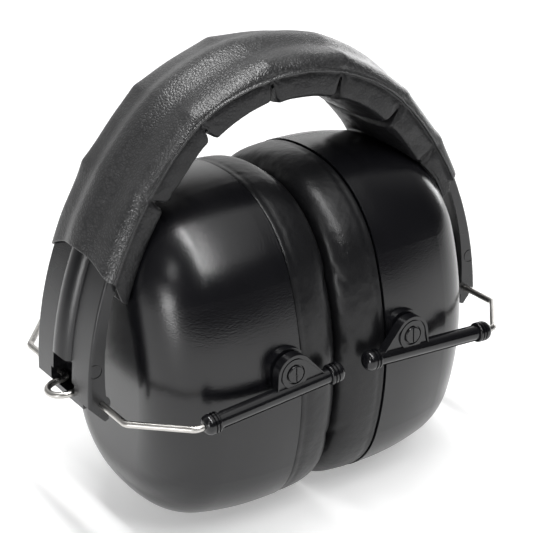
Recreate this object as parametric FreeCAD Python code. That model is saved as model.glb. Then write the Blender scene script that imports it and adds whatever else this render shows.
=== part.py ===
import FreeCAD, Part
import math
import os
from FreeCAD import Vector

# Folding earmuff hearing protector, shown folded: the two cups stand face to face inside the
# headband arch. Millimetres, +Z up. The origin is on the surface it stands on, under the crown.
# X runs from cup to cup, Y from the front slider tubes (-Y) to the rear ones. Everything on one
# side is built at negative X, which is the left side, and mirrored for the right.

# ---- driving dimensions -------------------------------------------------------------------
# ear cup, seen along X: an outline of tangent arcs, cut flat where the cup stands
CUP_HALF_WIDTH = 42.0
CUP_HALF_HEIGHT = 53.4
CUP_CENTRE_Z = 52.8
SIDE_ARC_R = 92.0
TOP_ARC_R = 60.0
CORNER_ARC_R = 34.0
# ear cup, seen along Y: distance from the middle plane and how the wall closes in outwards
RIM_X = 15.4
RIM_STRAIGHT = 4.0
TAPER_R = 88.0
TAPER_TURN_DEG = 13.2
SHOULDER_R = 21.5
SHELL_WALL = 2.4
LINER_GAP = 0.2
LINER_WALL = 8.0
LINER_RIM_X = 22.0
# ear cushion and the plate that carries it
PLATE_X = (13.3, 15.0)
PLATE_INSET = (0.9, 17.0)
SPIGOT_X = (14.9, 19.0)
SPIGOT_INSET = (2.7, 4.5)
CUSHION_FACE_X = 3.1
CUSHION_INSET_AT_PLATE = 1.7
CUSHION_INSET_AT_FACE = 3.2
CUSHION_OPENING_INSET = 17.5
CUSHION_FACE_FILLET = 4.0
CUSHION_BACK_FILLET = 1.0
# headband arch, measured on the outer face of the moulded frame
CROWN_CENTRE_Z = 82.5
CROWN_R = 56.5
CROWN_TURN_DEG = 47.0
END_X = 71.0
END_TURN_DEG = 94.0
BAND_HALF_WIDTH = 16.5
BAND_WALL = 2.0
FLANGE_WALL = 2.0
FLANGE_DEPTH = 3.4
END_FROM_DEG = 68.5
END_FLANGE_DEPTHS = (3.4, 4.3, 5.4)
END_FLANGE_RUNS = (88.0, 107.0, 122.0)
RIB_HALF_WIDTH = 5.0
RIB_HEIGHT = 2.6
# padded cover over the arch: where it ends and where it is sewn between its pads, as lengths
# along the arch from the crown
COVER_RUN = (-86.0, 82.0)
PAD_SEAMS = (-60.0, -34.0, -7.5, 19.0, 46.5, 68.0)
PAD_DEPTHS = (5.3, 8.4, 10.2, 11.1, 10.8, 6.6, 5.3)
COVER_SKIN = 1.2
FIT_GAP = 0.1
PINCH_HALF_DEG = 0.9
# yoke wire: its pivot at the end of the band and its path in its own plane
PIVOT = Vector(-66.8, 0, 50.5)
YOKE_TILT_DEG = 4.0
WIRE_R = 1.0
BEND_Y = 30.2
BEND_R = 3.0
ARM_TURN_U = 13.6
TUBE_Y = 46.0
WIRE_END_U = 54.0
LOOP_HALF_WIDTH = 4.5
LOOP_REACH = 8.6
LOOP_ROOT_R = 2.0
RUN_CLEARANCE = 0.05
# band end: slot for the wire loop, pivot holes and the rounded foot of the side walls
SLOT_HALF_WIDTH = 7.3
SLOT_TOP_Z = 54.2
SWING_SLOT_HALF_WIDTH = 5.9
SWING_SLOT_TOP_Z = 60.6
PIVOT_BOSS_R = 2.7
HOUSING_X = (-69.3, -63.9)
HOUSING_HALF_WIDTH = 9.2
HOUSING_Z = (46.6, 62.8)
POCKET_X = -65.4
POCKET_HALF_WIDTH = 7.7
POCKET_Z = (48.3, 61.3)
MOULD_MARK = (-68.2, 61.5, 2.2)
# slider tube on each end of the wire, and the ear that carries the cup
TUBE_R = 2.2
COLLAR_U = (15.8, 20.6)
END_CAP_U = (58.0, 62.9)
KNOB_R = 3.05
KNOB_DOME_R = 2.0
GROOVE_R = 2.6
GROOVE_WIDTH = 0.45
EAR_U = 46.4
EAR_RISE = 5.4
EAR_R = 5.8
EAR_FEET = (-6.6, 11.3)
EAR_Y = (44.1, 46.7)
EAR_BORDER_Y = 47.2
EAR_BORDER_WALL = 0.9
EAR_RING_R = (3.1, 4.5)
TUBE_RIB = (0.5, 0.22)
# pivot pin through the ear into the shell's boss
PIN_R = 2.0
PIN_HEAD_R = 2.6
PIN_HEAD_Y = (46.8, 47.6)
PIN_HEAD_FILLET = 0.4
PIN_INNER_Y = 39.7
PIN_SLOT = (0.5, 0.3)
BOSS_R = 6.5
BOSS_Y = (40.2, 43.35)
BOSS_FLAT_X = -16.2
FIXED_GAP = 0.03

X_AXIS = Vector(1, 0, 0)
Y_AXIS = Vector(0, 1, 0)
ORIGIN = Vector(0, 0, 0)


# ---- general helpers ----------------------------------------------------------------------
def fuse(shapes):
    """One clean solid out of touching shapes."""
    result = shapes[0].multiFuse(shapes[1:]) if len(shapes) > 1 else shapes[0]
    return result.removeSplitter()


def rounded_path(points, radii, closed=False):
    """Straight runs through the points, with an arc of the given radius at each corner."""
    count = len(points)
    corners = []
    for i, (point, radius) in enumerate(zip(points, radii)):
        inside = closed or 0 < i < count - 1
        if not inside or radius == 0:
            corners.append((point, None, point))
            continue
        back = (points[i - 1] - point).normalize()
        ahead = (points[(i + 1) % count] - point).normalize()
        half = back.getAngle(ahead) / 2
        bisector = (back + ahead).normalize()
        reach = radius / math.tan(half)
        middle = point + bisector * (radius / math.sin(half) - radius)
        corners.append((point + back * reach, middle, point + ahead * reach))
    edges = []
    for i, (start, middle, end) in enumerate(corners):
        if middle is not None:
            edges.append(Part.Arc(start, middle, end).toShape())
        if i < count - 1 or closed:
            following = corners[(i + 1) % count][0]
            if (following - end).Length > 1e-6:
                edges.append(Part.LineSegment(end, following).toShape())
    return edges


def face_of(points, radii=None):
    """Flat face inside a closed outline, with rounded corners where a radius is given."""
    radii = radii or [0] * len(points)
    return Part.Face(Part.Wire(rounded_path(points, radii, closed=True)))


def round_bar(edges, radius):
    """Bar of round section along tangent lines and arcs."""
    pieces = []
    for edge in edges:
        start = edge.valueAt(edge.FirstParameter)
        along = edge.tangentAt(edge.FirstParameter)
        disc = Part.Face(Part.Wire(Part.makeCircle(radius, start, along)))
        if isinstance(edge.Curve, Part.Line):
            pieces.append(disc.extrude(edge.valueAt(edge.LastParameter) - start))
        else:
            turn = math.degrees(edge.LastParameter - edge.FirstParameter)
            pieces.append(disc.revolve(edge.Curve.Center, edge.Curve.Axis, turn))
    return fuse(pieces)


def cylinder_y(x, z, radius, y_low, y_high):
    """Cylinder along Y between two distances."""
    return Part.makeCylinder(radius, y_high - y_low, Vector(x, y_low, z), Y_AXIS)


def box(x, y, z):
    """Box from three (low, high) pairs."""
    corner = Vector(x[0], y[0], z[0])
    return Part.makeBox(x[1] - x[0], y[1] - y[0], z[1] - z[0], corner)


def mirrored(shape, axis):
    return shape.mirror(ORIGIN, axis)


# ---- ear cup ------------------------------------------------------------------------------
def corner_centre():
    """Centre of the corner arc that meets the side arc and the top arc without a kink."""
    side = Vector(CUP_HALF_WIDTH - SIDE_ARC_R, 0, 0)
    top = Vector(0, CUP_HALF_HEIGHT - TOP_ARC_R, 0)
    to_side = SIDE_ARC_R - CORNER_ARC_R
    to_top = TOP_ARC_R - CORNER_ARC_R
    span = (top - side).Length
    along = (span ** 2 + to_side ** 2 - to_top ** 2) / (2 * span)
    across = math.sqrt(to_side ** 2 - along ** 2)
    direction = (top - side).normalize()
    normal = Vector(-direction.y, direction.x, 0)
    return side, top, side + direction * along + normal * across


def cup_arcs():
    """Outline arcs as (centre y, centre z, radius, start degrees, sweep degrees)."""
    side, top, corner = corner_centre()
    side_turn = math.degrees(math.atan2(corner.y - side.y, corner.x - side.x))
    top_turn = math.degrees(math.atan2(corner.y - top.y, corner.x - top.x))
    corner_sweep = top_turn - side_turn
    top_sweep = 2 * (90 - top_turn)
    z = CUP_CENTRE_Z
    return [
        (side.x, z, SIDE_ARC_R, -side_turn, 2 * side_turn),
        (corner.x, z + corner.y, CORNER_ARC_R, side_turn, corner_sweep),
        (0, z + top.y, TOP_ARC_R, top_turn, top_sweep),
        (-corner.x, z + corner.y, CORNER_ARC_R, 180 - top_turn, corner_sweep),
        (-side.x, z, SIDE_ARC_R, 180 - side_turn, 2 * side_turn),
        (-corner.x, z - corner.y, CORNER_ARC_R, 180 + side_turn, corner_sweep),
        (0, z - top.y, TOP_ARC_R, 180 + top_turn, top_sweep),
        (corner.x, z - corner.y, CORNER_ARC_R, -top_turn, corner_sweep),
    ]


def cup_plate(x_near, x_far, inset):
    """Flat plate with the cup's outline, set in from it, between two distances from the middle."""
    edges = []
    for cy, cz, radius, start, sweep in cup_arcs():
        circle = Part.Circle(Vector(-x_near, cy, cz), X_AXIS, radius - inset)
        angles = [math.radians(start + sweep * part) for part in (0, 0.5, 1)]
        points = [circle.Center + Vector(0, math.cos(a), math.sin(a)) * circle.Radius for a in angles]
        edges.append(Part.Arc(*points).toShape())
    return Part.Face(Part.Wire(edges)).extrude(Vector(x_near - x_far, 0, 0))


def cup_ring(section):
    """Ring around the cup whose section is drawn as (x, -inset, 0)."""
    pieces = []
    for cy, cz, radius, start, sweep in cup_arcs():
        face = section.copy()
        face.rotate(ORIGIN, X_AXIS, start)
        a = math.radians(start)
        face.translate(Vector(0, cy + radius * math.cos(a), cz + radius * math.sin(a)))
        pieces.append(face.revolve(Vector(0, cy, cz), X_AXIS, sweep))
    return fuse(pieces)


def wall_curve(rim_x, offset):
    """Edges of the cup wall's profile, from its rim to the outer plate."""
    straight_end = RIM_X + RIM_STRAIGHT
    taper_r = TAPER_R - offset
    shoulder_r = SHOULDER_R - offset
    turn = math.radians(TAPER_TURN_DEG)
    centre_gap = TAPER_R - SHOULDER_R
    shoulder_x = straight_end + centre_gap * math.sin(turn)
    shoulder_inset = TAPER_R - centre_gap * math.cos(turn)

    def taper_point(angle):
        return Vector(-(straight_end + taper_r * math.sin(angle)),
                      -(TAPER_R - taper_r * math.cos(angle)), 0)

    def shoulder_point(angle):
        return Vector(-(shoulder_x + shoulder_r * math.sin(angle)),
                      -(shoulder_inset - shoulder_r * math.cos(angle)), 0)

    start_angle = math.asin(max(0, rim_x - straight_end) / taper_r)
    edges = []
    if rim_x < straight_end:
        edges.append(Part.LineSegment(Vector(-rim_x, -offset, 0), taper_point(0)).toShape())
    taper = [taper_point(start_angle + (turn - start_angle) * part) for part in (0, 0.5, 1)]
    edges.append(Part.Arc(*taper).toShape())
    angles = [turn, (turn + math.pi / 2) / 2, math.pi / 2]
    edges.append(Part.Arc(*[shoulder_point(a) for a in angles]).toShape())
    return edges, shoulder_inset, shoulder_x + shoulder_r


def dished_wall(rim_x, outer_offset, inner_offset):
    """Closed-ended dish between two offsets inward from the outside of the cup."""
    outer, plate_inset, outer_x = wall_curve(rim_x, outer_offset)
    inner, _, inner_x = wall_curve(rim_x, inner_offset)
    outer_start = outer[0].valueAt(outer[0].FirstParameter)
    inner_start = inner[0].valueAt(inner[0].FirstParameter)
    outer_end = Vector(-outer_x, -plate_inset, 0)
    inner_end = Vector(-inner_x, -plate_inset, 0)
    closing = [Part.LineSegment(outer_end, inner_end).toShape(),
               Part.LineSegment(inner_start, outer_start).toShape()]
    outline = Part.Wire(Part.__sortEdges__(outer + inner + closing))
    ring = cup_ring(Part.Face(outline))
    return fuse([ring, cup_plate(inner_x, outer_x, plate_inset)])


def above_ground(shape):
    """The cup outline is cut flat where it meets the surface it stands on."""
    return shape.cut(box((-80, 80), (-60, 60), (-20, 0)))


def pin_centre():
    """Where the cup hangs on its slider ears, in X and Z."""
    local = Vector(EAR_U, 0, EAR_RISE)
    return placed(Part.Vertex(local)).Point


def cup_shell():
    dish = dished_wall(RIM_X, 0, SHELL_WALL)
    pin = pin_centre()
    boss = cylinder_y(pin.x, pin.z, BOSS_R, BOSS_Y[0], BOSS_Y[1])
    boss = boss.cut(box((BOSS_FLAT_X, 0), (30, 60), (pin.z - 20, pin.z + 20)))
    shell = fuse([dish, boss, mirrored(boss, Y_AXIS)])
    hole = cylinder_y(pin.x, pin.z, PIN_R + FIXED_GAP, -60, 60)
    return above_ground(shell.cut(hole))


def ring_between(x_range, inset_range):
    near, far = x_range
    shallow, deep = inset_range
    corners = [(near, shallow), (far, shallow), (far, deep), (near, deep)]
    return cup_ring(face_of([Vector(-x, -inset, 0) for x, inset in corners]))


def cushion_plate():
    """Plate that the cushion is welded to, with the spigot that clips into the shell."""
    return fuse([ring_between(PLATE_X, PLATE_INSET), ring_between(SPIGOT_X, SPIGOT_INSET)])


def ear_cushion():
    corners = [(PLATE_X[0], CUSHION_INSET_AT_PLATE), (CUSHION_FACE_X, CUSHION_INSET_AT_FACE),
               (CUSHION_FACE_X, CUSHION_OPENING_INSET), (PLATE_X[0], CUSHION_OPENING_INSET)]
    radii = [CUSHION_BACK_FILLET, CUSHION_FACE_FILLET, CUSHION_FACE_FILLET, CUSHION_BACK_FILLET]
    return cup_ring(face_of([Vector(-x, -inset, 0) for x, inset in corners], radii))


def foam_liner():
    outer = SHELL_WALL + LINER_GAP
    return dished_wall(LINER_RIM_X, outer, outer + LINER_WALL)


# ---- headband -----------------------------------------------------------------------------
def shoulder_arc():
    """Radius and centre of the arc that runs from the crown arc down to the band's end."""
    turn = math.radians(CROWN_TURN_DEG)
    radius = (END_X - CROWN_R * math.sin(turn)) / (1 - math.sin(turn))
    gap = radius - CROWN_R
    centre = Vector(-gap * math.sin(turn), 0, CROWN_CENTRE_Z - gap * math.cos(turn))
    return radius, centre


def arch_sweep(section, start, end):
    """Sweep a section, drawn as (0, y, height above the frame), between two turn angles."""
    shoulder_r, right_centre = shoulder_arc()
    left_centre = Vector(-right_centre.x, 0, right_centre.z)
    crown_centre = Vector(0, 0, CROWN_CENTRE_Z)
    spans = [(-180, -CROWN_TURN_DEG, shoulder_r, left_centre),
             (-CROWN_TURN_DEG, CROWN_TURN_DEG, CROWN_R, crown_centre),
             (CROWN_TURN_DEG, 180, shoulder_r, right_centre)]
    pieces = []
    for low, high, radius, centre in spans:
        first = max(low, start)
        last = min(high, end)
        if last - first < 1e-6:
            continue
        face = section.copy()
        face.translate(centre + Vector(0, 0, radius))
        face.rotate(centre, Y_AXIS, first)
        pieces.append(face.revolve(centre, Y_AXIS, last - first))
    return fuse(pieces)


def block_section(half_width, top, bottom, fillet=0):
    """Rectangular section between two heights, rounded along its upper edges."""
    corners = [(-half_width, bottom), (half_width, bottom), (half_width, top), (-half_width, top)]
    return face_of([Vector(0, y, z) for y, z in corners], [0, 0, fillet, fillet])


def ridge_section(growth):
    """Rounded ridge along the middle of the band, grown outwards by a skin thickness."""
    radius = (RIB_HALF_WIDTH ** 2 + RIB_HEIGHT ** 2) / (2 * RIB_HEIGHT)
    centre = RIB_HEIGHT - radius
    grown = radius + growth
    base = -BAND_WALL / 2
    half = math.sqrt(grown ** 2 - (base - centre) ** 2)
    chord = Part.LineSegment(Vector(0, half, base), Vector(0, -half, base)).toShape()
    top = Vector(0, 0, centre + grown)
    crest = Part.Arc(Vector(0, -half, base), top, Vector(0, half, base)).toShape()
    return Part.Face(Part.Wire([chord, crest]))


def channel(depth, start, end):
    """Band wall with a flange along each side."""
    outside = arch_sweep(block_section(BAND_HALF_WIDTH, 0, -depth, 1.0), start, end)
    inside = block_section(BAND_HALF_WIDTH - FLANGE_WALL, -BAND_WALL, -depth - 1)
    return outside.cut(arch_sweep(inside, start - 1, end + 1))


def band_foot_cutter():
    """Everything below the rounded foot of the left band end."""
    foot = [Vector(-90, 0, 50.4), Vector(-71.1, 0, 50.4), Vector(-66.2, 0, 44.8),
            Vector(-64, 0, 46), Vector(-58, 0, 46), Vector(-58, 0, 20), Vector(-90, 0, 20)]
    face = face_of(foot, [0, 0.8, 0.6, 0.6, 0, 0, 0])
    face.translate(Vector(0, -30, 0))
    return face.extrude(Vector(0, 60, 0))


def band_end_cuts():
    """Slot for the wire loop, pivot holes and a moulding mark, at the left end."""
    outside_x = (-80, PIVOT.x - 0.5)
    slot = box(outside_x, (-SLOT_HALF_WIDTH, SLOT_HALF_WIDTH), (30, SLOT_TOP_Z))
    swing = (-SWING_SLOT_HALF_WIDTH, SWING_SLOT_HALF_WIDTH)
    swing_slot = box(outside_x, swing, (40, SWING_SLOT_TOP_Z))
    chamfer = [Vector(-80, 0, 40), Vector(-70, 0, 40), Vector(-70, 0, SWING_SLOT_TOP_Z - 1.2),
               Vector(-80, 0, SWING_SLOT_TOP_Z + 8.8)]
    rib_cut = face_of(chamfer)
    rib_cut.translate(Vector(0, -SWING_SLOT_HALF_WIDTH, 0))
    rib_cut = rib_cut.extrude(Vector(0, 2 * SWING_SLOT_HALF_WIDTH, 0))
    holes = cylinder_y(PIVOT.x, PIVOT.z, WIRE_R + RUN_CLEARANCE, -20, 20)
    mark_x, mark_z, mark_r = MOULD_MARK
    ring = cylinder_y(mark_x, mark_z, mark_r, -17, 17)
    ring = ring.cut(cylinder_y(mark_x, mark_z, mark_r - 0.3, -17, 17))
    mark_depth = BAND_HALF_WIDTH - 0.2
    ring = ring.cut(box((-80, -60), (-mark_depth, mark_depth), (50, 70)))
    return [slot, swing_slot, rib_cut, holes, ring, band_foot_cutter()]


def turn_at(length):
    """Turn angle, from the crown, at a length along the arch."""
    shoulder_r, _ = shoulder_arc()
    crown_length = CROWN_R * math.radians(CROWN_TURN_DEG)
    if abs(length) <= crown_length:
        return math.degrees(length / CROWN_R)
    beyond = math.degrees((abs(length) - crown_length) / shoulder_r)
    return math.copysign(CROWN_TURN_DEG + beyond, length)


def deepening_channel():
    """Left end of the band, whose side walls get deeper towards the foot."""
    shoulder_r, right_centre = shoulder_arc()
    edge = []
    for length, depth in zip(END_FLANGE_RUNS, END_FLANGE_DEPTHS):
        turn = math.radians(turn_at(length))
        reach = shoulder_r - depth
        edge.append(Vector(-right_centre.x - reach * math.sin(turn), 0,
                           right_centre.z + reach * math.cos(turn)))
    circle = Part.Arc(*edge).toShape().Curve
    inside = cylinder_y(circle.Center.x, circle.Center.z, circle.Radius, -30, 30)
    return channel(END_FLANGE_DEPTHS[-1] + 3, -END_TURN_DEG, -END_FROM_DEG).cut(inside)


def loop_housing():
    """Pocket behind the left slot that the wire loop swings in, with bores for the wire."""
    half = HOUSING_HALF_WIDTH
    block = box(HOUSING_X, (-half, half), HOUSING_Z)
    half = POCKET_HALF_WIDTH
    pocket = box((HOUSING_X[0] - 5, POCKET_X), (-half, half), POCKET_Z)
    return block.cut([pocket, cylinder_y(PIVOT.x, PIVOT.z, WIRE_R + RUN_CLEARANCE, -20, 20)])


def headband_frame():
    pieces = [channel(FLANGE_DEPTH, -END_FROM_DEG, END_FROM_DEG),
              arch_sweep(ridge_section(0), -END_TURN_DEG, END_TURN_DEG)]
    ends = [deepening_channel()]
    inner_y = BAND_HALF_WIDTH - FLANGE_WALL
    for low, high in ((-BAND_HALF_WIDTH, -inner_y), (inner_y, BAND_HALF_WIDTH)):
        ends.append(cylinder_y(PIVOT.x, PIVOT.z, PIVOT_BOSS_R, low, high))
    cuts = band_end_cuts()
    pieces += ends + [mirrored(end, X_AXIS) for end in ends]
    cuts += [mirrored(cut, X_AXIS) for cut in cuts]
    housing = loop_housing()
    return fuse([fuse(pieces).cut(cuts), housing, mirrored(housing, X_AXIS)])


def pad_limits():
    """Turn angles where the seven pads of the cover begin and end."""
    return [turn_at(length) for length in (COVER_RUN[0], *PAD_SEAMS, COVER_RUN[1])]


def headband_cover():
    """Sleeve around the arch with a pocket for each pad, drawn in between the pads."""
    half_inside = BAND_HALF_WIDTH + FIT_GAP
    half_outside = half_inside + COVER_SKIN
    top = FIT_GAP + COVER_SKIN
    limits = pad_limits()
    pinch_depth = FLANGE_DEPTH + FIT_GAP + COVER_SKIN
    sleeve = block_section(half_outside, top, -pinch_depth, 1.5)
    low_end, high_end = limits[0], limits[-1]
    outside = [arch_sweep(sleeve, low_end, high_end),
               arch_sweep(ridge_section(FIT_GAP + COVER_SKIN), low_end, high_end)]
    core = block_section(half_inside, FIT_GAP, -FLANGE_DEPTH - FIT_GAP)
    hollow = [arch_sweep(core, low_end - 1, high_end + 1),
              arch_sweep(ridge_section(FIT_GAP), low_end - 1, high_end + 1)]
    for depth, start, end in zip(PAD_DEPTHS, limits[:-1], limits[1:]):
        first = start + (PINCH_HALF_DEG if start > low_end else 0)
        last = end - (PINCH_HALF_DEG if end < high_end else 0)
        outside.append(arch_sweep(block_section(half_outside, 0, -depth), first, last))
        pocket = block_section(half_inside, -1, COVER_SKIN - depth)
        hollow.append(arch_sweep(pocket, first + PINCH_HALF_DEG, last - PINCH_HALF_DEG))
    return fuse(outside).cut(hollow)


def pad_foams():
    """Foam block of each pad, inside its pocket and between the frame's flanges."""
    half_width = BAND_HALF_WIDTH - FLANGE_WALL - 0.3
    limits = pad_limits()
    foams = []
    for depth, start, end in zip(PAD_DEPTHS, limits[:-1], limits[1:]):
        section = block_section(half_width, -BAND_WALL - FIT_GAP, COVER_SKIN - depth + FIT_GAP)
        margin = 2.2 * PINCH_HALF_DEG
        foams.append(arch_sweep(section, start + margin, end - margin))
    return foams


# ---- yoke wire and slider tubes -----------------------------------------------------------
def placed(shape):
    """From the yoke's own plane (X inwards from its pivot, Z off the plane) to the left side."""
    shape = shape.copy()
    shape.rotate(ORIGIN, Y_AXIS, -YOKE_TILT_DEG)
    shape.translate(PIVOT)
    return shape


def yoke_wire():
    front = [(WIRE_END_U, -TUBE_Y, 0), (ARM_TURN_U, -TUBE_Y, BEND_R), (0, -BEND_Y, BEND_R),
             (0, -LOOP_HALF_WIDTH, LOOP_ROOT_R), (-LOOP_REACH, -LOOP_HALF_WIDTH, LOOP_HALF_WIDTH - 0.05)]
    rear = [(u, -y, radius) for u, y, radius in reversed(front)]
    path = front + rear
    points = [Vector(u, y, 0) for u, y, _ in path]
    edges = rounded_path(points, [radius for _, _, radius in path])
    return placed(round_bar(edges, WIRE_R))


def knob(u_range, groove_at, rounded_end):
    """Turned knob with two ring grooves; the end cap is closed and domed."""
    start, end = u_range
    axis_start = Vector(start, -TUBE_Y, 0)
    body = Part.makeCylinder(KNOB_R, end - start, axis_start, X_AXIS)
    for edge in body.Edges:
        if abs(edge.Length - 2 * math.pi * KNOB_R) < 0.01:
            at_end = edge.BoundBox.XMin > (start + end) / 2
            body = body.makeFillet(KNOB_DOME_R if at_end == rounded_end else 0.5, [edge])
    for u in groove_at:
        groove = Part.makeCylinder(KNOB_R + 1, GROOVE_WIDTH, Vector(u, -TUBE_Y, 0), X_AXIS)
        groove = groove.cut(Part.makeCylinder(GROOVE_R, GROOVE_WIDTH, Vector(u, -TUBE_Y, 0), X_AXIS))
        body = body.cut(groove)
    return body


def entry_collar():
    """Collar where the wire enters the tube."""
    body = knob(COLLAR_U, [COLLAR_U[0] + 2.5, COLLAR_U[0] + 3.5], False)
    bore = Part.makeCylinder(WIRE_R + RUN_CLEARANCE, 10, Vector(COLLAR_U[0] - 1, -TUBE_Y, 0), X_AXIS)
    return placed(body.cut(bore))


def end_cap():
    """Closed cap on the inner end of the tube."""
    return placed(knob(END_CAP_U, [END_CAP_U[0] + 0.8, END_CAP_U[0] + 1.9], True))


def ear_outline(radius):
    """Circle round the pin with tangents to two feet on the tube, in the plane of the ear."""
    centre = Vector(EAR_U, 0, EAR_RISE)
    feet = [Vector(EAR_U + reach, 0, 0) for reach in EAR_FEET]
    touches = []
    for foot, turn in zip(feet, (-1, 1)):
        to_foot = foot - centre
        angle = math.atan2(to_foot.z, to_foot.x) + turn * math.acos(radius / to_foot.Length)
        touches.append(centre + Vector(math.cos(angle), 0, math.sin(angle)) * radius)
    crest = Part.Arc(touches[0], centre + Vector(0, 0, radius), touches[1]).toShape()
    edges = [crest, Part.LineSegment(touches[1], feet[1]).toShape(),
             Part.LineSegment(feet[1], feet[0]).toShape(),
             Part.LineSegment(feet[0], touches[0]).toShape()]
    return Part.Face(Part.Wire(edges))


def slider_tube():
    """Tube that slides on the wire, with the ear that the cup hangs on."""
    start = Vector(COLLAR_U[1], -TUBE_Y, 0)
    length = END_CAP_U[0] - COLLAR_U[1]
    tube = Part.makeCylinder(TUBE_R, length, start, X_AXIS)
    ribs = []
    width, proud = TUBE_RIB
    for angle in (60, 150, 240, 330):
        rib = box((start.x + 1, start.x + length - 1), (-width / 2, width / 2), (1, TUBE_R + proud))
        rib.rotate(ORIGIN, X_AXIS, angle)
        rib.translate(Vector(0, -TUBE_Y, 0))
        ribs.append(rib)
    ear = ear_outline(EAR_R)
    ear.translate(Vector(0, -EAR_Y[1], 0))
    ear = ear.extrude(Vector(0, EAR_Y[1] - EAR_Y[0], 0))
    border = ear_outline(EAR_R)
    border.translate(Vector(0, -EAR_BORDER_Y, 0))
    border = border.extrude(Vector(0, EAR_BORDER_Y - EAR_Y[1], 0))
    recess = ear_outline(EAR_R - EAR_BORDER_WALL)
    recess.translate(Vector(0, -EAR_BORDER_Y - 1, 0))
    recess = recess.extrude(Vector(0, 2, 0))
    ring_r, ring_outer_r = EAR_RING_R
    ring = cylinder_y(EAR_U, EAR_RISE, ring_outer_r, -EAR_BORDER_Y, -EAR_Y[1])
    ring = ring.cut(cylinder_y(EAR_U, EAR_RISE, ring_r, -60, -30))
    body = fuse([tube, ear, border.cut(recess), ring] + ribs)
    bore = Part.makeCylinder(WIRE_R + RUN_CLEARANCE, length + 2, start - X_AXIS, X_AXIS)
    pin_hole = cylinder_y(EAR_U, EAR_RISE, PIN_R + RUN_CLEARANCE, -60, -30)
    return placed(body.cut([bore, pin_hole]))


def pivot_pin():
    """Slotted pin that holds the cup between its ears."""
    pin = pin_centre()
    head = cylinder_y(pin.x, pin.z, PIN_HEAD_R, -PIN_HEAD_Y[1], -PIN_HEAD_Y[0])
    rim = [edge for edge in head.Edges if edge.BoundBox.YMax < -PIN_HEAD_Y[1] + 0.01]
    head = head.makeFillet(PIN_HEAD_FILLET, rim)
    shaft = cylinder_y(pin.x, pin.z, PIN_R, -PIN_HEAD_Y[0], -PIN_INNER_Y)
    width, depth = PIN_SLOT
    slot = box((pin.x - width / 2, pin.x + width / 2), (-PIN_HEAD_Y[1], -PIN_HEAD_Y[1] + depth),
               (pin.z - PIN_HEAD_R, pin.z + PIN_HEAD_R))
    return fuse([head, shaft]).cut(slot)


# ---- all nodes ----------------------------------------------------------------------------
def side_nodes():
    """Nodes of the left side by name; the ones in front also exist at the rear."""
    nodes = {"yoke_wire": yoke_wire(), "cup_shell": cup_shell(), "cushion_plate": cushion_plate(),
             "ear_cushion": ear_cushion(), "foam_liner": foam_liner()}
    both_ends = {"slider_tube": slider_tube(), "entry_collar": entry_collar(),
                 "end_cap": end_cap(), "pivot_pin": pivot_pin()}
    for name, shape in both_ends.items():
        nodes["front_" + name] = shape
        nodes["rear_" + name] = mirrored(shape, Y_AXIS)
    return nodes


def all_nodes():
    nodes = {"headband_frame": headband_frame(), "headband_cover": headband_cover()}
    for number, foam in enumerate(pad_foams(), start=1):
        nodes[f"pad_foam_{number}"] = foam
    for name, shape in side_nodes().items():
        nodes["left_" + name] = shape
        nodes["right_" + name] = mirrored(shape, X_AXIS)
    return nodes


os.makedirs("parts", exist_ok=True)
for node_name, node_shape in all_nodes().items():
    solids = node_shape.Solids
    node_solid = solids[0] if len(solids) == 1 else node_shape
    node_solid.exportStep(f"parts/{node_name}.step")
    print(node_name, "solids", len(solids), "valid", node_shape.isValid(), "volume", round(node_shape.Volume))
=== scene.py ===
import math

import bmesh
import bpy
import numpy as np
from mathutils import Matrix, Vector, noise
from mathutils.bvhtree import BVHTree


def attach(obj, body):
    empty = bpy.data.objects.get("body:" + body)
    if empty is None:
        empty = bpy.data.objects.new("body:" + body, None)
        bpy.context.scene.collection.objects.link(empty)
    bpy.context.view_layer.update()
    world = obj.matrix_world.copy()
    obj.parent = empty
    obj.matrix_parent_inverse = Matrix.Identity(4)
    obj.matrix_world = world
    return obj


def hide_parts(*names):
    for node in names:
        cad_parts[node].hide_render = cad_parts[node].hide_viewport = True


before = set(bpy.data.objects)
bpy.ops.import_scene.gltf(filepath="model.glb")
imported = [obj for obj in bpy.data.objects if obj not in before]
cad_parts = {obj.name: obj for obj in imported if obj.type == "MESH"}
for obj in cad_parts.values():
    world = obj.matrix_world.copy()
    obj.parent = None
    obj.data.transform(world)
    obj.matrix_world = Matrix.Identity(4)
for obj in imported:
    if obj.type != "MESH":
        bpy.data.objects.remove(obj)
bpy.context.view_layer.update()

# Folding earmuff hearing protector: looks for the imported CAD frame. Metres, +Z up. X runs from cup
# to cup and the front is -Y. Lengths named _MM are millimetres, and MM turns them into metres.
MM = 0.001
SIDES = (("left", -1), ("right", 1))

# ---- headband arch, as the CAD frame has it: a crown arc and two shoulder arcs ---------------
CROWN_R_MM = 56.5
CROWN_Z_MM = 82.5
CROWN_TURN = math.radians(47.0)
END_X_MM = 71.0
SHOULDER_R_MM = (END_X_MM - CROWN_R_MM * math.sin(CROWN_TURN)) / (1 - math.sin(CROWN_TURN))
CROWN_RUN_MM = CROWN_R_MM * CROWN_TURN


# =============================================================================================
# materials
# =============================================================================================
RANGE_SOCKETS = ("From Min", "From Max", "To Min", "To Max")
PLASTIC_SPREAD = 0.05
FLOW_DEPTH = 0.00006


def new_material(name, colour, roughness, **settings):
    """Principled material; settings name its other sockets."""
    material = bpy.data.materials.new(name)
    material.use_nodes = True
    shader = material.node_tree.nodes["Principled BSDF"]
    shader.inputs["Base Color"].default_value = (*colour, 1)
    shader.inputs["Roughness"].default_value = roughness
    for socket, value in settings.items():
        shader.inputs[socket.replace("_", " ")].default_value = value
    return material


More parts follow.
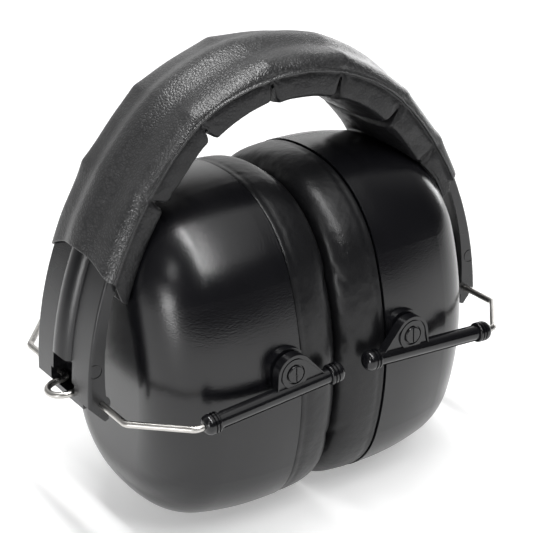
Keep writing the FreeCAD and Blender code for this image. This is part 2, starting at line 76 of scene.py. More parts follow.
class Nodes:
    """Short way to add and link nodes in one material."""

    def __init__(self, material):
        self.tree = material.node_tree
        self.shader = self.tree.nodes["Principled BSDF"]
        self.place = self.add("ShaderNodeTexCoord").outputs["Object"]

    def add(self, kind, **values):
        node = self.tree.nodes.new(kind)
        for key, value in values.items():
            if key in node.inputs:
                node.inputs[key].default_value = value
            else:
                setattr(node, key, value)
        return node

    def link(self, source, target):
        self.tree.links.new(source, target)

    def stretched(self, scale):
        mapping = self.add("ShaderNodeMapping")
        mapping.inputs["Scale"].default_value = scale
        self.link(self.place, mapping.inputs["Vector"])
        return mapping.outputs["Vector"]

    def noise(self, scale, detail=3.0, rough=0.5, place=None):
        node = self.add("ShaderNodeTexNoise", Scale=scale, Detail=detail, Roughness=rough)
        self.link(place or self.place, node.inputs["Vector"])
        return node

    def warped(self, scale, amount):
        """Object place, moved about by noise so that cells aren't regular."""
        wave = self.noise(scale, 2.0)
        centred = self.add("ShaderNodeVectorMath", operation="SUBTRACT")
        centred.inputs[1].default_value = (0.5, 0.5, 0.5)
        self.link(wave.outputs["Color"], centred.inputs[0])
        scaled = self.add("ShaderNodeVectorMath", operation="SCALE")
        scaled.inputs["Scale"].default_value = amount
        self.link(centred.outputs[0], scaled.inputs[0])
        total = self.add("ShaderNodeVectorMath", operation="ADD")
        self.link(self.place, total.inputs[0])
        self.link(scaled.outputs[0], total.inputs[1])
        return total.outputs[0]

    def cells(self, scale, place, feature="DISTANCE_TO_EDGE"):
        node = self.add("ShaderNodeTexVoronoi", feature=feature, Scale=scale)
        self.link(place, node.inputs["Vector"])
        return node.outputs["Distance"]

    def ranged(self, value, low, high, to_low, to_high):
        node = self.add("ShaderNodeMapRange")
        for socket, number in zip(RANGE_SOCKETS, (low, high, to_low, to_high)):
            node.inputs[socket].default_value = number
        self.link(value, node.inputs["Value"])
        return node.outputs["Result"]

    def mix_colour(self, factor, first, second):
        ramp = self.add("ShaderNodeValToRGB")
        ramp.color_ramp.elements[0].color = (*first, 1)
        ramp.color_ramp.elements[1].color = (*second, 1)
        self.link(factor, ramp.inputs["Fac"])
        return ramp.outputs["Color"]

    def bump(self, height, distance, below=None):
        node = self.add("ShaderNodeBump", Strength=1.0, Distance=distance)
        self.link(height, node.inputs["Height"])
        if below is not None:
            self.link(below, node.inputs["Normal"])
        return node.outputs["Normal"]

    def finish(self, normal, colour=None, roughness=None):
        self.link(normal, self.shader.inputs["Normal"])
        if colour is not None:
            self.link(colour, self.shader.inputs["Base Color"])
        if roughness is not None:
            self.link(roughness, self.shader.inputs["Roughness"])


def leather(name, colour, pale, roughness, cell, depth, wrinkle, specular):
    """Black leatherette: pebbles of the given size in metres with creases between them, and painted shade
    darkening the creases.
    """
    material = new_material(name, colour, roughness, Specular_IOR_Level=specular)
    n = Nodes(material)
    place = n.warped(0.35 / cell, 0.45 * cell)
    crease = n.ranged(n.cells(1 / cell, place), 0.0, 0.28, 0.0, 1.0)
    pores = n.noise(3.5 / cell, 3.0)
    waves = n.noise(90.0, 3.0, 0.55)
    normal = n.bump(waves.outputs["Fac"], wrinkle)
    normal = n.bump(crease, depth, below=normal)
    normal = n.bump(pores.outputs["Fac"], depth * 0.2, below=normal)
    patch = n.noise(45.0, 2.0)
    # colour: 0.6 of the base colour in the creases, which is painted shade, and the pale colour on the
    # pebbles
    n.finish(normal, n.mix_colour(crease, tuple(0.6 * c for c in colour), pale),
             n.ranged(patch.outputs["Fac"], 0.3, 0.7, roughness - 0.05, roughness + 0.07))
    return material


def grained_plastic(name, colour, roughness, grain, depth):
    """Moulded plastic with an etched grain of the given size in metres."""
    material = new_material(name, colour, roughness, Specular_IOR_Level=0.5)
    n = Nodes(material)
    place = n.warped(0.5 / grain, 0.6 * grain)
    pebbles = n.ranged(n.cells(1 / grain, place, "SMOOTH_F1"), 0.0, 0.8, 1.0, 0.0)
    fine = n.noise(2.6 / grain, 2.0)
    flow = n.noise(40.0, 2.0)
    normal = n.bump(flow.outputs["Fac"], FLOW_DEPTH)
    normal = n.bump(pebbles, depth, below=normal)
    normal = n.bump(fine.outputs["Fac"], depth * 0.4, below=normal)
    patch = n.noise(30.0, 3.0)
    dark, pale = tuple(0.8 * c for c in colour), tuple(1.25 * c for c in colour)
    n.finish(normal, n.mix_colour(patch.outputs["Fac"], dark, pale),
             n.ranged(patch.outputs["Fac"], 0.3, 0.7, roughness - PLASTIC_SPREAD, roughness + PLASTIC_SPREAD))
    return material


def smooth_plastic(name, colour, roughness):
    """Glossy moulded plastic with faint flow marks."""
    material = new_material(name, colour, roughness, Specular_IOR_Level=0.5)
    n = Nodes(material)
    flow = n.noise(150.0, 3.0)
    fine = n.noise(1500.0, 2.0)
    normal = n.bump(flow.outputs["Fac"], 0.0001)
    normal = n.bump(fine.outputs["Fac"], 0.000012, below=normal)
    n.finish(normal, None, n.ranged(flow.outputs["Fac"], 0.3, 0.7, roughness - 0.04, roughness + 0.08))
    return material


def drawn_steel(name):
    """Bright drawn spring wire: fine lines along it and a little soiling."""
    material = new_material(name, (0.52, 0.51, 0.49), 0.28, Metallic=1.0)
    n = Nodes(material)
    lines = n.noise(900.0, 4.0, 0.6, n.stretched((0.12, 0.12, 1.0)))
    soil = n.noise(220.0, 3.0)
    normal = n.bump(lines.outputs["Fac"], 0.00001)
    n.finish(normal, n.mix_colour(soil.outputs["Fac"], (0.38, 0.37, 0.35), (0.62, 0.605, 0.58)),
             n.ranged(lines.outputs["Fac"], 0.3, 0.7, 0.2, 0.42))
    return material


def open_foam(name):
    """Open-cell liner foam, dark grey with small pores."""
    material = new_material(name, (0.035, 0.035, 0.038), 0.92, Specular_IOR_Level=0.2)
    n = Nodes(material)
    pores = n.ranged(n.cells(900.0, n.warped(500.0, 0.0006)), 0.0, 0.35, 1.0, 0.0)
    waves = n.noise(120.0, 3.0)
    normal = n.bump(pores, 0.0004, below=n.bump(waves.outputs["Fac"], 0.0015))
    n.finish(normal, n.mix_colour(pores, (0.055, 0.055, 0.058), (0.008, 0.008, 0.009)))
    return material


MATERIALS = {
    "band_plastic": grained_plastic("band_plastic", (0.007, 0.007, 0.008), 0.27, 0.00035, 0.000012),
    "cup_plastic": grained_plastic("cup_plastic", (0.004, 0.004, 0.005), 0.22, 0.00045, 0.00002),
    "plate_plastic": grained_plastic("plate_plastic", (0.007, 0.007, 0.008), 0.36, 0.0004, 0.00002),
    "slider_plastic": smooth_plastic("slider_plastic", (0.005, 0.005, 0.006), 0.18),
    "pin_plastic": smooth_plastic("pin_plastic", (0.007, 0.007, 0.008), 0.25),
    "spring_wire": drawn_steel("spring_wire"),
    "cover_leather": leather("cover_leather", (0.018, 0.018, 0.019), (0.028, 0.028, 0.029), 0.35,
                             cell=0.0010, depth=0.00006, wrinkle=0.0004, specular=0.8),
    # the pads' leather is a darker copy of the cover's leather: its darker colour is painted shade on the
    # pads that face down and forward
    "shaded_pad_leather": leather("shaded_pad_leather", (0.007, 0.007, 0.008), (0.010, 0.010, 0.011), 0.42,
                           cell=0.0011, depth=0.00004, wrinkle=0.0009, specular=0.4),
    "cushion_vinyl": leather("cushion_vinyl", (0.006, 0.006, 0.007), (0.008, 0.008, 0.009), 0.34,
                             cell=0.0006, depth=0.00001, wrinkle=0.0005, specular=0.36),
    "foam": open_foam("foam"),
}
NODE_MATERIALS = {
    "headband_frame": "band_plastic", "headband_cover": "cover_leather", "pad_foam": "foam",
    "yoke_wire": "spring_wire", "cup_shell": "cup_plastic", "cushion_plate": "plate_plastic",
    "ear_cushion": "cushion_vinyl", "foam_liner": "foam", "slider_tube": "slider_plastic",
    "entry_collar": "slider_plastic", "end_cap": "slider_plastic", "pivot_pin": "pin_plastic",
}


def paint(obj, material):
    obj.data.materials.clear()
    obj.data.materials.append(material)


for node_name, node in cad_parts.items():
    for part, finish in NODE_MATERIALS.items():
        if part in node_name:
            paint(node, MATERIALS[finish])

# =============================================================================================
# mesh helpers
# =============================================================================================
def smoothstep(value, low, high):
    t = np.clip((value - low) / (high - low), 0, 1)
    return t * t * (3 - 2 * t)


def curve_weights(knots, samples, closed=False):
    """Weights that turn control points into points on a smooth curve through them."""
    weights = np.zeros((samples, knots))
    spans = knots if closed else knots - 1
    places = np.arange(samples) / samples * spans if closed else np.linspace(0, spans, samples)
    for row, place in enumerate(places):
        first = min(int(place), spans - 1)
        t = place - first
        basis = (-0.5 * t + t * t - 0.5 * t ** 3, 1 - 2.5 * t * t + 1.5 * t ** 3,
                 0.5 * t + 2 * t * t - 1.5 * t ** 3, -0.5 * t * t + 0.5 * t ** 3)
        for offset, weight in zip((-1, 0, 1, 2), basis):
            knot = first + offset
            knot = knot % knots if closed else min(max(knot, 0), knots - 1)
            weights[row, knot] += weight
    return weights


def noise_at(points, scale, seed):
    """Smooth noise from about -1 to 1 at each point; scale is in bumps per millimetre."""
    shift = Vector((seed * 7.31, seed * 3.17, seed * 5.71))
    return np.array([noise.noise(Vector(p) * scale + shift) for p in points])


def grid_mesh(name, rings, close_rings, material=None):
    """Object from rings of points in millimetres, shaped (rings, points in a ring, 3)."""
    count, around, _ = rings.shape
    faces = []
    for i in range(count if close_rings else count - 1):
        after = (i + 1) % count
        for j in range(around):
            nxt = (j + 1) % around
            faces.append((i * around + j, i * around + nxt, after * around + nxt, after * around + j))
    mesh = bpy.data.meshes.new(name)
    mesh.from_pydata((rings.reshape(-1, 3) * MM).tolist(), [], faces)
    mesh.update()
    mesh.polygons.foreach_set("use_smooth", [True] * len(mesh.polygons))
    obj = bpy.data.objects.new(name, mesh)
    bpy.context.scene.collection.objects.link(obj)
    if material:
        paint(obj, material)
    return obj


def face_outwards(obj):
    """Makes the normals of a closed mesh point out."""
    tool = bmesh.new()
    tool.from_mesh(obj.data)
    bmesh.ops.recalc_face_normals(tool, faces=tool.faces)
    tool.to_mesh(obj.data)
    tool.free()


def apply_modifiers(obj):
    graph = bpy.context.evaluated_depsgraph_get()
    mesh = bpy.data.meshes.new_from_object(obj.evaluated_get(graph))
    obj.modifiers.clear()
    obj.data = mesh


# =============================================================================================
# padded headband cover
# =============================================================================================
COVER_ENDS_MM = (-86.0, 82.0)
PINCHES_MM = (-60.0, -34.0, -7.5, 19.0, 46.5, 68.0)
PAD_DEPTHS_MM = (8.6, 8.8, 10.0, 11.2, 11.2, 11.0, 10.6)
NOTCH_DEPTHS_MM = (4.7, 4.7, 4.7, 4.7, 5.2, 9.4)
NOTCH_HALF_MM = 0.5
PAD_CORNER_MM = 1.9
COVER_WALL_MM = 1.0
COVER_AROUND = 132
SEAM_SHARE = 12.5 / 44
SEAM_HEIGHT_MM = -1.4
SEAM_DIP_MM = 1.5
SEAM_RETURN_MM = 0.8
CUSP_ROUND_MM = 0.8
CUSP_RUN_MM = 3.5
TUCK_RUN_MM = 1.1
BULGE_MM = 0.35
BULGE_RUN_MM = 4.0
PRESS_FROM_MM = -2.2
PRESS_BEYOND_RUN_MM = 25
SHELL_GAP_MM = 0.7
END_ARCH_MM = 4.5
END_UNDER_MM = 5.5
LOW_END_FADE_MM = 22
HIGH_END_FADE_MM = 16
CREASE_MM = 0.30
CREASE_REACH_MM = 4.5


def arch_points(run, height, y):
    """Points at an arc length from the crown, a height over the frame's outer face, and a y."""
    sign = np.sign(run)
    run = np.abs(run)
    on_crown = run <= CROWN_RUN_MM
    angle = np.where(on_crown, run / CROWN_R_MM, CROWN_TURN + (run - CROWN_RUN_MM) / SHOULDER_R_MM)
    gap = np.where(on_crown, 0.0, SHOULDER_R_MM - CROWN_R_MM)
    reach = CROWN_R_MM + gap + height
    x = reach * np.sin(angle) - gap * math.sin(CROWN_TURN)
    z = CROWN_Z_MM + reach * np.cos(angle) - gap * math.cos(CROWN_TURN)
    return np.stack([sign * x, y, z], -1)


def cover_runs():
    """Arc lengths of the cover's rings, close together at each pinch."""
    near = [0, 0.25, 0.45, 0.52, 0.62, 0.8, 1.05, 1.4, 1.9, 2.5, 3.2, 4.0]
    runs = set(np.arange(COVER_ENDS_MM[0], COVER_ENDS_MM[1], 1.0).tolist())
    runs = {r for r in runs if min(abs(r - p) for p in PINCHES_MM) > 4.3}
    runs |= {p + d * s for p in PINCHES_MM for d in near for s in (-1, 1)}
    runs |= {e + d for e, sign in zip(COVER_ENDS_MM, (1, -1)) for d in (0, 0.3 * sign)}
    return np.array(sorted(runs))


def cover_loop(run):
    """Control points (y, height) of half a section, crest to underside, for each arc length."""
    pinches = np.array(PINCHES_MM)
    away = np.abs(run[:, None] - pinches[None, :]).min(1)
    depth = np.array(PAD_DEPTHS_MM)[np.searchsorted(pinches, run)]
    rise = np.clip((away - NOTCH_HALF_MM) / PAD_CORNER_MM, 0, 1)
    notch = np.array(NOTCH_DEPTHS_MM)[np.abs(run[:, None] - pinches[None, :]).argmin(1)]
    depth = notch + (depth - notch) * np.sqrt(1 - (1 - rise) ** 2)
    seam = SEAM_HEIGHT_MM - SEAM_DIP_MM * smoothstep(run, -34, -6) + SEAM_RETURN_MM * smoothstep(run, 20, 50)
    cusp = np.exp(-(np.hypot(away, CUSP_ROUND_MM) - CUSP_ROUND_MM) / CUSP_RUN_MM)
    tuck = np.exp(-(away / TUCK_RUN_MM) ** 2)
    edge_lift = 0.9 * cusp - 0.25
    bulge = BULGE_MM * (1 - np.exp(-away / BULGE_RUN_MM))
    one = np.ones_like(run)
    pad_height = depth + seam - 0.5
    over_rib = [
        (0 * one, 4.6 + 0.25 * cusp), (2.3 * one, 4.35 + 0.25 * cusp), (4.4 * one, 3.65 + 0.2 * cusp),
        (6.4 * one, 2.8 + 0.2 * cusp), (8.5 * one, 2.2 + 0.2 * edge_lift),
        (11.0 * one, 2.0 + 0.4 * edge_lift), (13.4 * one, 1.8 + 0.75 * edge_lift),
        (15.4 * one, 1.35 + edge_lift), (17.0 * one, 0.4 + edge_lift),
        (17.9 + 0.3 * bulge, 0.35 * seam + 0.5 * edge_lift),
    ]
    seam_lip = [
        (18.2 + 0.3 * bulge - 0.2 * tuck, 0.75 * seam), (18.75 + 0.3 * bulge - 0.3 * tuck, seam + 0.2),
        (18.6 + 0.3 * bulge - 0.3 * tuck, seam - 0.25), (17.85 - 0.4 * tuck, seam - 0.5),
    ]
    pad = [
        (17.95 + bulge - 0.7 * tuck, seam - 0.5 - 0.2 * pad_height),
        (18.0 + bulge - 0.7 * tuck, seam - 0.5 - 0.5 * pad_height),
        (17.85 + bulge - 0.6 * tuck, seam - 0.5 - 0.8 * pad_height),
        (17.3 + bulge, -depth + 0.1 * pad_height), (16.2 + 0 * one, -depth + 0.02 * pad_height),
        (13.0 * one, -depth - 0.3 - 0.5 * bulge), (9.0 * one, -depth - 0.5 - 1.2 * bulge),
        (4.5 * one, -depth - 0.6 - 1.6 * bulge), (0 * one, -depth - 0.6 - 1.8 * bulge),
    ]
    return np.array(over_rib + seam_lip + pad).transpose(2, 0, 1)


def pressed_on_shell(side_name, sign, run, height, y):
    """Heights with the pads pressed flat where a cup's shell lies against them."""
    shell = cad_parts[f"{side_name}_cup_shell"]
    tree = BVHTree.FromObject(shell, bpy.context.evaluated_depsgraph_get())
    start = arch_points(run, np.full_like(run, PRESS_FROM_MM), y)
    inwards = arch_points(run, np.full_like(run, PRESS_FROM_MM - 1), y) - start
    pressed = height.copy()
    for i in np.flatnonzero((height < PRESS_FROM_MM) & (run * sign > PRESS_BEYOND_RUN_MM)):
        _, _, _, distance = tree.ray_cast(Vector(start[i] * MM), Vector(inwards[i]))
        if distance is not None:
            lowest = PRESS_FROM_MM - distance / MM + SHELL_GAP_MM
            over = lowest - height[i]
            if over > 0:
                pressed[i] = lowest + 0.25 * max(0, 1 - (over + 1) / 2) ** 2
    return pressed


def headband_sleeve():
    """Rings of the cover's outer surface, with its notches, creases and waves."""
    run = cover_runs()
    half = cover_loop(run)
    loop = np.concatenate([half * (-1, 1), half[:, -2:0:-1]], 1)
    weights = curve_weights(loop.shape[1], COVER_AROUND, closed=True)
    section = np.einsum("ak,rkc->rac", weights, loop)
    y, height = section[..., 0], section[..., 1]
    run = np.repeat(run[:, None], COVER_AROUND, 1)
    # the cut ends: higher over the rib, and the underside reaches further down
    low_end, high_end = COVER_ENDS_MM
    arched = END_ARCH_MM * (1 - np.clip(np.abs(y) / 17, 0, 1) ** 2) * smoothstep(height, -1.5, 0.5)
    under = END_UNDER_MM * smoothstep(-height, 1.0, 7.0)
    run = run + (arched - under) * (1 - smoothstep(run, low_end, low_end + LOW_END_FADE_MM))
    run = run - (0.5 * arched - 0.6 * under) * smoothstep(run, high_end - HIGH_END_FADE_MM, high_end)
    points = arch_points(run, height, y).reshape(-1, 3)
    # creases that fan out of each notch, and loose waves on the pads
    low_part = smoothstep(-height, 1.2, 3.0).ravel()
    flat_run = run.ravel()
    drop = np.clip(-height.ravel() - 2.0, 0, 20)
    fold = np.zeros(len(points))
    for k, pinch in enumerate(PINCHES_MM):
        u = flat_run - pinch
        reach = np.hypot(u, drop)
        bearing = np.arctan2(drop, np.abs(u) + 0.3)
        side = np.sign(u)
        ripple = np.cos(bearing * (9.0 + 1.5 * side + k % 3) + k * 1.9 + side)
        fold += CREASE_MM * ripple * np.exp(-reach / CREASE_REACH_MM) * smoothstep(reach, 0.3, 1.5)
    waves = noise_at(points, 0.16, 1) * 0.35 + noise_at(points, 0.45, 2) * 0.12
    outward = (fold + waves) * low_part
    top_waves = noise_at(points, 0.09, 3) * 0.22 * (1 - low_part)
    side_share = smoothstep(np.abs(y).ravel(), 15.5, 17.5)
    y_moved = y.ravel() + np.sign(y.ravel()) * outward * side_share * 0.8
    h_moved = height.ravel() - outward * (1 - side_share) + np.maximum(top_waves, -0.1)
    for side_name, sign in SIDES:
        h_moved = pressed_on_shell(side_name, sign, flat_run, h_moved, y_moved)
    return arch_points(flat_run, h_moved, y_moved).reshape(*y.shape, 3)


def make_cover():
    """Sleeve of sheet thickness, with a duller leather below the seam whose darker colour is painted shade.
    """
    rings = headband_sleeve()
    cover = grid_mesh("headband_sleeve", rings, close_rings=False, material=MATERIALS["cover_leather"])
    face_outwards(cover)
    cover.data.materials.append(MATERIALS["shaded_pad_leather"])
    # faces below the seam take the darker leather, which is painted shade
    shaded_low_face = np.abs(np.arange(COVER_AROUND) / COVER_AROUND - 0.5) < 0.5 - SEAM_SHARE
    slots = np.tile(shaded_low_face, len(rings) - 1).astype(int)
    cover.data.polygons.foreach_set("material_index", slots.tolist())
    thickness = cover.modifiers.new("thickness", "SOLIDIFY")
    thickness.thickness = COVER_WALL_MM * MM
    thickness.offset = -1
    apply_modifiers(cover)
    cover.data.polygons.foreach_set("use_smooth", [True] * len(cover.data.polygons))
    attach(cover, "headband")
    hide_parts("headband_cover", *[f"pad_foam_{i}" for i in range(1, 8)])


make_cover()

# =============================================================================================
# ear cushions
# =============================================================================================
CUP_HALF_WIDTH_MM = 42.0
CUP_HALF_HEIGHT_MM = 53.4
CUP_CENTRE_Z_MM = 52.8
SIDE_ARC_R_MM, TOP_ARC_R_MM, CORNER_ARC_R_MM = 92.0, 60.0, 34.0
CUSHION_AROUND = 240
CUSHION_ACROSS = 72
# the cushion's section, as (x from the middle plane, inset from the cup's outline)
CUSHION_SECTION_MM = (
    (13.25, 14.0), (13.25, 8.0), (13.25, 3.5), (13.3, 1.4), (13.6, 0.82), (14.8, 0.8),
    (14.95, 0.5), (14.3, 0.32), (12.9, 0.42), (10.6, 0.62), (8.0, 0.85), (5.6, 1.25),
    (3.6, 2.0), (1.9, 3.1), (0.9, 4.5), (0.4, 6.4), (0.35, 9.0), (0.5, 12.4),
    (1.4, 15.1), (3.4, 17.0), (6.6, 17.9), (10.2, 17.8), (12.6, 17.0),
)
HELD_BEYOND_MM = 12.6
SWELL_CAP_MM = 0.45
FACE_GAP_MM = 0.28
STANDING_GAP_MM = 0.3
ROUGHNESS_MM = 0.04
LINER_VOXEL_MM = 1.4
# the skin is simulated at this multiple of its real size
CLOTH_SCALE = 10.0
CLOTH_FRAMES = 12


def outline_points(count):
    """Points spread evenly round the cup's outline as (y, z), with their outward directions."""
    side = np.array([CUP_HALF_WIDTH_MM - SIDE_ARC_R_MM, 0.0])
    top = np.array([0.0, CUP_HALF_HEIGHT_MM - TOP_ARC_R_MM])
    to_side, to_top = SIDE_ARC_R_MM - CORNER_ARC_R_MM, TOP_ARC_R_MM - CORNER_ARC_R_MM
    span = np.linalg.norm(top - side)
    along = (span ** 2 + to_side ** 2 - to_top ** 2) / (2 * span)
    across = math.sqrt(to_side ** 2 - along ** 2)
    direction = (top - side) / span
    corner = side + direction * along + np.array([-direction[1], direction[0]]) * across
    side_turn = math.atan2(corner[1] - side[1], corner[0] - side[0])
    top_turn = math.atan2(corner[1] - top[1], corner[0] - top[0])
    arcs = [(side, SIDE_ARC_R_MM, 0.0, side_turn), (corner, CORNER_ARC_R_MM, side_turn, top_turn),
            (top, TOP_ARC_R_MM, top_turn, math.pi / 2)]
    quarter = sum(radius * (end - start) for _, radius, start, end in arcs)
    points, normals = [], []
    for i in range(count):
        place = 4 * quarter * i / count
        part = int(place // quarter) % 4
        run = place - part * quarter
        run = quarter - run if part % 2 else run
        for centre, radius, start, end in arcs:
            if run <= radius * (end - start) + 1e-9:
                break
            run -= radius * (end - start)
        angle = start + run / radius
        mirror = np.array([(1, 1), (-1, 1), (-1, -1), (1, -1)][part])
        points.append((centre + radius * np.array([math.cos(angle), math.sin(angle)])) * mirror)
        normals.append(np.array([math.cos(angle), math.sin(angle)]) * mirror)
    return np.array(points) + (0, CUP_CENTRE_Z_MM), np.array(normals)


def cushion_rings():
    """Rings of the right cushion's skin, before it is blown up."""
    outline, normals = outline_points(CUSHION_AROUND)
    weights = curve_weights(len(CUSHION_SECTION_MM), CUSHION_ACROSS, closed=True)
    section = weights @ np.array(CUSHION_SECTION_MM)
    x = np.repeat(section[None, :, 0], CUSHION_AROUND, 0)
    inset = np.repeat(section[None, :, 1], CUSHION_AROUND, 0)
    flat = outline[:, None, :] - inset[..., None] * normals[:, None, :]
    return np.stack([x, flat[..., 0], flat[..., 1]], -1)


def swelled(rings):
    """Rings of the skin after a cloth simulation, with slack vinyl and air behind it."""
    start = rings.reshape(-1, 3)
    rough = start + ROUGHNESS_MM * np.stack([noise_at(start, 0.25, seed) for seed in (11, 12, 13)], -1)
    skin = grid_mesh("swelling", (rough * CLOTH_SCALE).reshape(rings.shape), close_rings=True)
    face_outwards(skin)
    held = skin.vertex_groups.new(name="held")
    held.add(np.flatnonzero(start[:, 0] > HELD_BEYOND_MM).tolist(), 1.0, "REPLACE")
    cloth = skin.modifiers.new("cloth", "CLOTH")
    settings = cloth.settings
    settings.quality = 4
    settings.mass = 0.15
    settings.tension_stiffness = 12
    settings.compression_stiffness = 12
    settings.shear_stiffness = 4
    settings.bending_stiffness = 0.4
    settings.use_pressure = True
    settings.uniform_pressure_force = 4
    settings.shrink_min = -0.008
    settings.vertex_group_mass = "held"
    settings.effector_weights.gravity = 0
    scene = bpy.context.scene
    cloth.point_cache.frame_start = 1
    cloth.point_cache.frame_end = CLOTH_FRAMES
    for frame_number in range(1, CLOTH_FRAMES + 1):
        scene.frame_set(frame_number)
    result = skin.evaluated_get(bpy.context.evaluated_depsgraph_get()).data
    moved = np.empty(len(result.vertices) * 3)
    result.vertices.foreach_get("co", moved)
    scene.frame_set(1)
    bpy.data.objects.remove(skin)
    step = moved.reshape(-1, 3) / MM / CLOTH_SCALE - start
    length = np.maximum(np.linalg.norm(step, axis=1, keepdims=True), 1e-9)
    return (start + step * SWELL_CAP_MM * np.tanh(length / SWELL_CAP_MM) / length).reshape(rings.shape)


def make_cushion(side_name, sign, rings):
    """Cushion from the skin's rings, with soft waves of its own away from the plate."""
    points = rings.reshape(-1, 3)
    waves = noise_at(points, 0.07, 20 + sign) * 0.16 + noise_at(points, 0.2, 22 + sign) * 0.04
    free = smoothstep(-points[:, 0], -12.5, -9)
    outward = points - (0, 0, CUP_CENTRE_Z_MM)
    outward[:, 0] = 0
    outward /= np.linalg.norm(outward, axis=1, keepdims=True)
    rings = (points + outward * (waves * free)[:, None]).reshape(rings.shape)
    rings = np.stack([sign * np.maximum(rings[..., 0], FACE_GAP_MM), rings[..., 1],
                      np.maximum(rings[..., 2], STANDING_GAP_MM)], -1)
    cushion = grid_mesh(f"{side_name}_cushion", rings, close_rings=True, material=MATERIALS["cushion_vinyl"])
    face_outwards(cushion)
    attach(cushion, f"{side_name}_cup")
    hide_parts(f"{side_name}_ear_cushion")


def make_liner(side_name):
    """Dished foam liner, with soft edges and an uneven cut surface."""
    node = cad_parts[f"{side_name}_foam_liner"]
    liner = bpy.data.objects.new(f"{side_name}_liner", node.data.copy())
    bpy.context.scene.collection.objects.link(liner)
    remesh = liner.modifiers.new("remesh", "REMESH")
    remesh.mode = "VOXEL"
    remesh.voxel_size = LINER_VOXEL_MM * MM
    soften = liner.modifiers.new("soften", "SMOOTH")
    soften.factor = 0.5
    soften.iterations = 6
    apply_modifiers(liner)
    mesh = liner.data
    points = np.empty(len(mesh.vertices) * 3)
    normals = np.empty(len(mesh.vertices) * 3)
    mesh.vertices.foreach_get("co", points)
    mesh.vertices.foreach_get("normal", normals)
    points, normals = points.reshape(-1, 3), normals.reshape(-1, 3)
    uneven = 0.30 * noise_at(points / MM, 0.09, 5) + 0.14 * noise_at(points / MM, 0.4, 6) - 0.40
    mesh.vertices.foreach_set("co", (points + normals * uneven[:, None] * MM).ravel())
    mesh.polygons.foreach_set("use_smooth", [True] * len(mesh.polygons))
    mesh.update()
    paint(liner, MATERIALS["foam"])
    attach(liner, f"{side_name}_cup")
    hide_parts(f"{side_name}_foam_liner")


skin_rings = cushion_rings()
skin_rings = swelled(skin_rings)
for side_name, sign in SIDES:
    make_cushion(side_name, sign, skin_rings)
    make_liner(side_name)

# =============================================================================================
# camera, floor and light
# =============================================================================================
CAMERA_PLACE_MM = (-245.14, -379.45, 271.55)
CAMERA_RIGHT = Vector((0.83305, -0.55268, -0.02390))
CAMERA_UP = Vector((0.24364, 0.32776, 0.91281))
SENSOR_MM = 36.0
LENS_MM = 108.5

camera = bpy.data.objects.new("camera", bpy.data.cameras.new("camera"))
bpy.context.scene.collection.objects.link(camera)
camera.data.sensor_width = SENSOR_MM
camera.data.lens = LENS_MM
camera.data.clip_start = 0.01
camera.data.clip_end = 20.0
turn = Matrix((CAMERA_RIGHT, CAMERA_UP, CAMERA_RIGHT.cross(CAMERA_UP))).transposed().to_4x4()
camera.matrix_world = Matrix.Translation(Vector(CAMERA_PLACE_MM) * MM) @ turn
bpy.context.scene.camera = camera

FLOOR_HALF = 4.0
FLOOR_DROP = 0.0002
floor_mesh = bpy.data.meshes.new("floor")
floor_mesh.from_pydata([(-FLOOR_HALF, -FLOOR_HALF, 0), (FLOOR_HALF, -FLOOR_HALF, 0),
                        (FLOOR_HALF, FLOOR_HALF, 0), (-FLOOR_HALF, FLOOR_HALF, 0)], [], [(0, 1, 2, 3)])
floor = bpy.data.objects.new("floor", floor_mesh)
floor.location.z = -FLOOR_DROP
bpy.context.scene.collection.objects.link(floor)
floor_material = new_material("floor_white", (0.88, 0.88, 0.88), 0.7, Specular_IOR_Level=0.1,
                              Emission_Color=(1, 1, 1, 1), Emission_Strength=0.36)
paint(floor, floor_material)


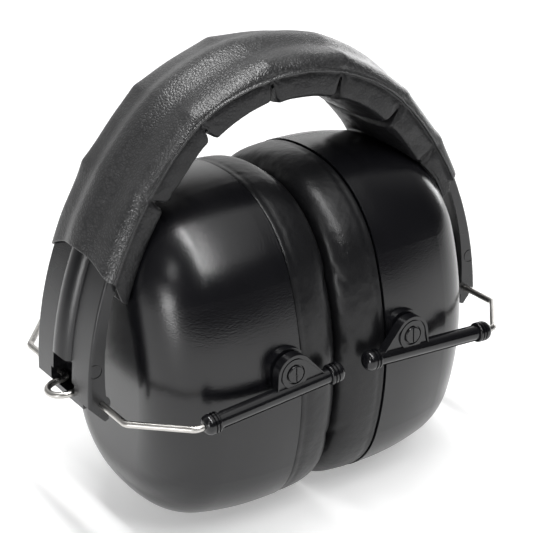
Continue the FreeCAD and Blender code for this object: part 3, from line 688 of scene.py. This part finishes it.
def area_light(name, place, target, size, power, along=(0, 0, 1)):
    """Rectangular light; its second size runs along the given direction."""
    light = bpy.data.lights.new(name, "AREA")
    light.shape = "RECTANGLE"
    light.size, light.size_y = size
    light.energy = power
    obj = bpy.data.objects.new(name, light)
    bpy.context.scene.collection.objects.link(obj)
    back = (Vector(place) - Vector(target)).normalized()
    up = Vector(along)
    up = (up - back * back.dot(up)).normalized()
    turn = Matrix((up.cross(back), up, back)).transposed().to_4x4()
    obj.matrix_world = Matrix.Translation(place) @ turn


CENTRE = (0, 0, 0.07)
area_light("strip_over", (-0.04, -0.20, 0.97), (-0.03, -0.01, 0.09), (0.06, 1.5), 12.0, along=(0, 1, 0))
area_light("softbox_over", (0.28, -0.35, 1.0), CENTRE, (0.5, 1.1), 1.5, along=(0, 1, 0))
area_light("softbox_back", (0.5, 1.0, 0.45), CENTRE, (1.0, 0.6), 1.3)
area_light("panel_right", (1.0, 0.55, 0.10), CENTRE, (0.7, 0.5), 4.6)
area_light("panel_left", (-1.15, -0.50, 0.08), CENTRE, (0.3, 0.6), 6.0)
area_light("softbox_left", (-0.75, -0.42, 0.75), CENTRE, (0.12, 0.3), 0.7)


BRIGHT_TOWARDS = (0.15, 0.95, 0.28)
WORLD_RANGE = (-0.1, 0.8, 0.04, 0.4)


def studio_world():
    """Bright behind the object and over it, dark in front, and plain white to the camera."""
    world = bpy.data.worlds.new("studio")
    world.use_nodes = True
    tree = world.node_tree
    background = tree.nodes["Background"]
    place = tree.nodes.new("ShaderNodeTexCoord")
    towards = tree.nodes.new("ShaderNodeVectorMath")
    towards.operation = "DOT_PRODUCT"
    towards.inputs[1].default_value = BRIGHT_TOWARDS
    shade = tree.nodes.new("ShaderNodeMapRange")
    shade.interpolation_type = "SMOOTHSTEP"
    for socket, number in zip(RANGE_SOCKETS, WORLD_RANGE):
        shade.inputs[socket].default_value = number
    seen = tree.nodes.new("ShaderNodeLightPath")
    either = tree.nodes.new("ShaderNodeMath")
    either.operation = "MAXIMUM"
    tree.links.new(place.outputs["Generated"], towards.inputs[0])
    tree.links.new(towards.outputs["Value"], shade.inputs["Value"])
    tree.links.new(shade.outputs["Result"], either.inputs[0])
    tree.links.new(seen.outputs["Is Camera Ray"], either.inputs[1])
    tree.links.new(either.outputs["Value"], background.inputs["Strength"])
    background.inputs["Color"].default_value = (1, 1, 1, 1)
    bpy.context.scene.world = world


studio_world()
bpy.context.scene.view_settings.view_transform = "Standard"
